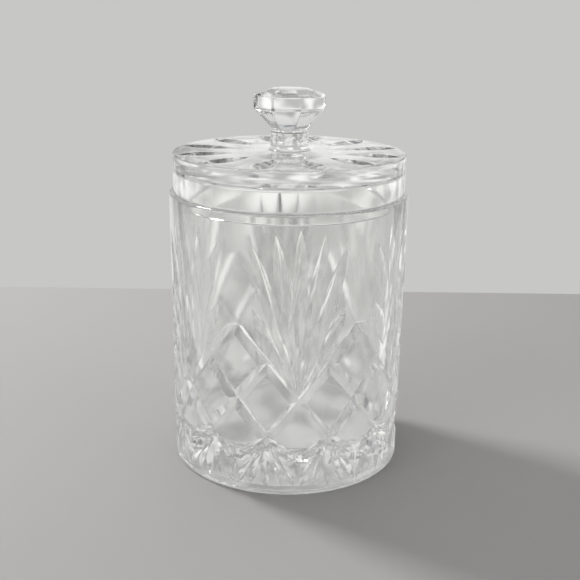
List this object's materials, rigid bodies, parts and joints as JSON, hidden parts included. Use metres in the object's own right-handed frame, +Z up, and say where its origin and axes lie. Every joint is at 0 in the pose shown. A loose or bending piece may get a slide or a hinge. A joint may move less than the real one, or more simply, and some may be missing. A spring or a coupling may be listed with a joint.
{
  "type": "biscuit jar",
  "caption": "Straight-sided cut crystal jar with fans over diamonds, and a lift-off hollow lid with radial cuts on top and a faceted knob.",
  "frame": {"origin": "middle of the face that the jar stands on", "axes": "+Z up along the jar's axis, from the foot ring to the knob; -Y towards the viewer of the picture"},
  "size_m": [0.127, 0.127, 0.201],
  "materials": {
    "jar_glass": "polished clear crystal, cut outside with bright mitre facets",
    "lid_glass": "polished clear crystal with broad cut facets on top",
    "knob_glass": "polished clear crystal, flat cut facets"
  },
  "bodies": {
    "jar": {"jar_body": "jar_glass"},
    "lid": {"lid": "lid_glass", "lid_knob": "knob_glass"}
  },
  "joints": [
    {"name": "lid_lift", "type": "slide", "parent": "jar", "child": "lid", "axis": [0, 0, 1], "range_m": [0, 0.12]}
  ]
}
